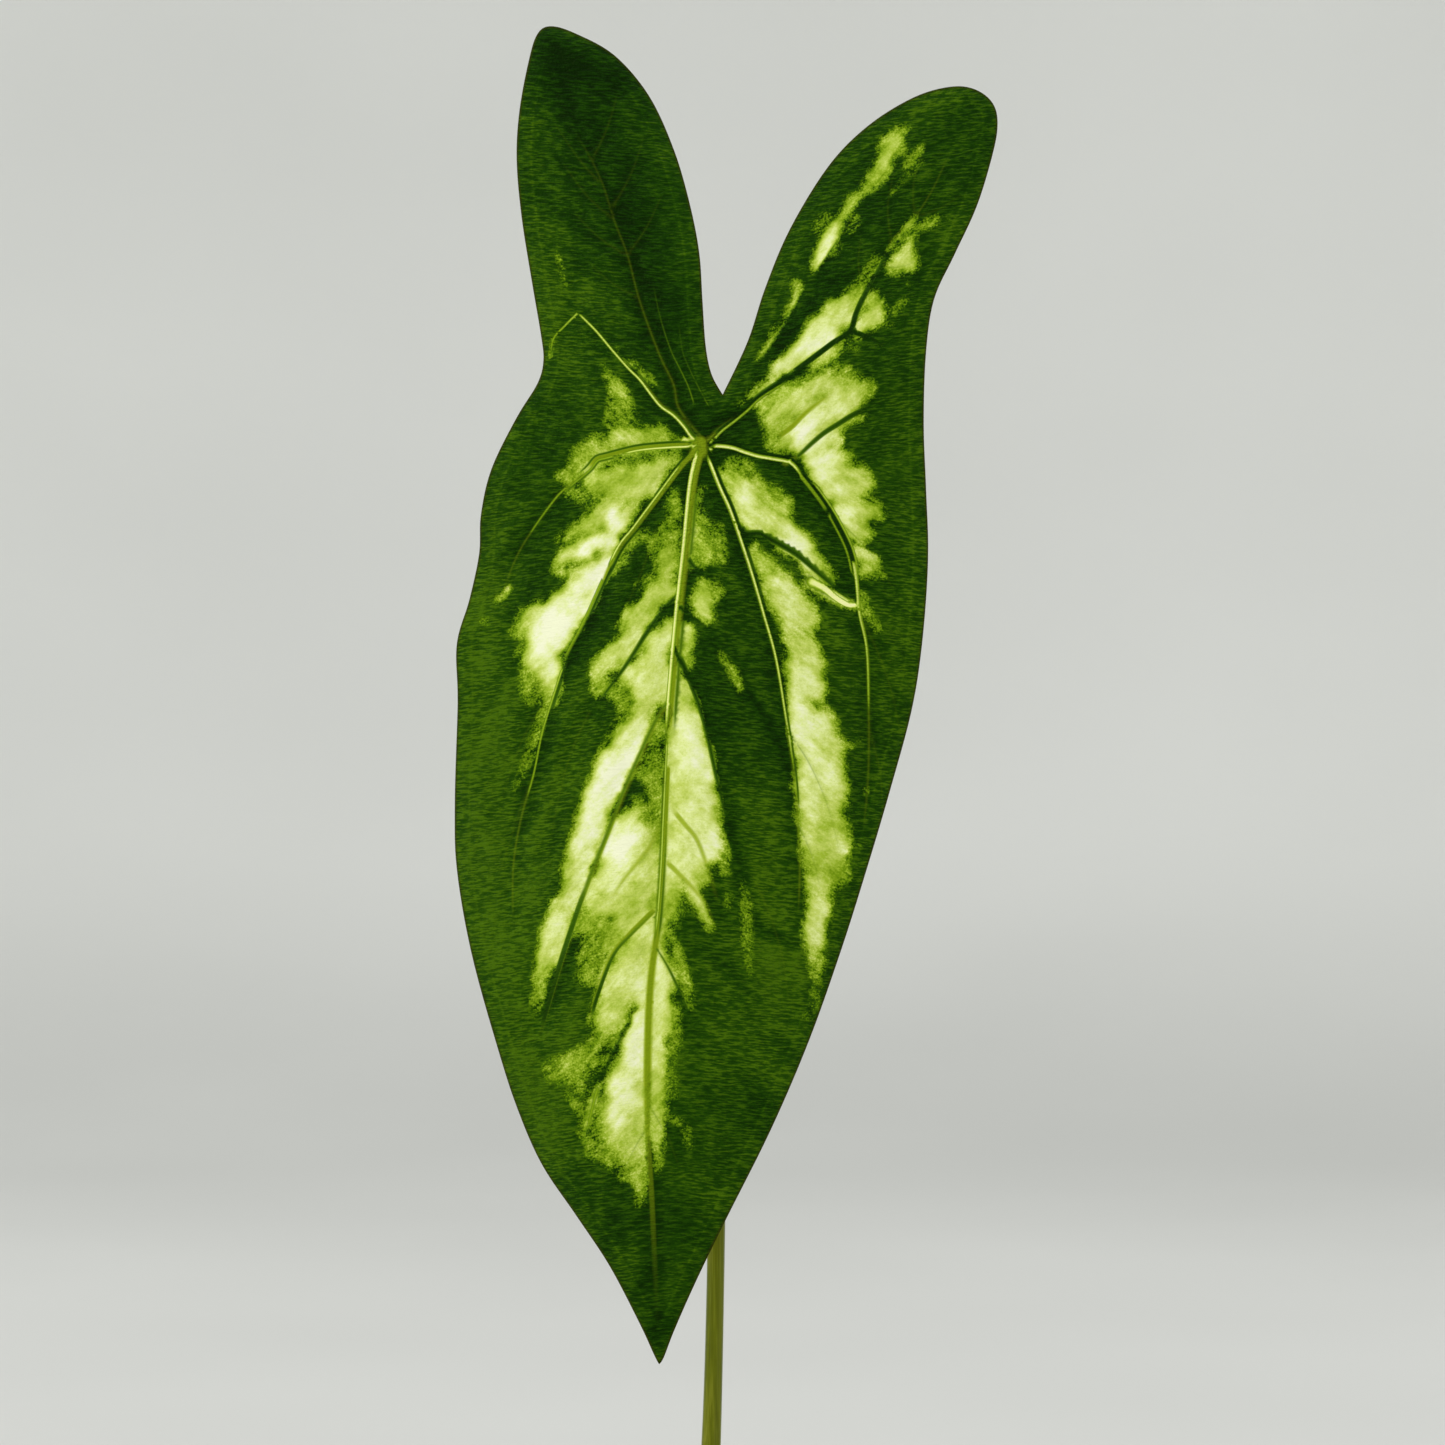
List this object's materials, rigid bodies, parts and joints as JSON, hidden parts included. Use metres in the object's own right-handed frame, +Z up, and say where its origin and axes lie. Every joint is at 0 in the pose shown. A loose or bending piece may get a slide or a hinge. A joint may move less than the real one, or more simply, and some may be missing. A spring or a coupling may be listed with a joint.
{
  "type": "potted taro",
  "caption": "Potted taro plant: a tall stalk holds a large hanging arrow-shaped leaf with cream and green marbling, rooted in a clay flowerpot.",
  "frame": {"origin": "centre of the pot's underside, on the pot's axis", "axes": "+Z up along the pot's axis, +X to the viewer's right, -Y towards the viewer that the leaf's face looks at"},
  "size_m": [0.19, 0.19, 0.69],
  "materials": {
    "clay": "matt unglazed",
    "potting_mix": "crumbly, matt",
    "corm_skin": "fibrous, matt",
    "root_skin": "matt",
    "stalk_skin": "smooth, waxy",
    "leaf_skin": "marbled cream and green, soft sheen"
  },
  "bodies": {
    "root": {"pot": "clay", "soil": "potting_mix", "corm": "corm_skin", "petiole": "stalk_skin", "leaf_blade": "leaf_skin", "root_1": "root_skin", "root_2": "root_skin", "root_3": "root_skin", "root_4": "root_skin", "root_5": "root_skin", "root_6": "root_skin", "root_7": "root_skin", "root_8": "root_skin"}
  },
  "joints": []
}
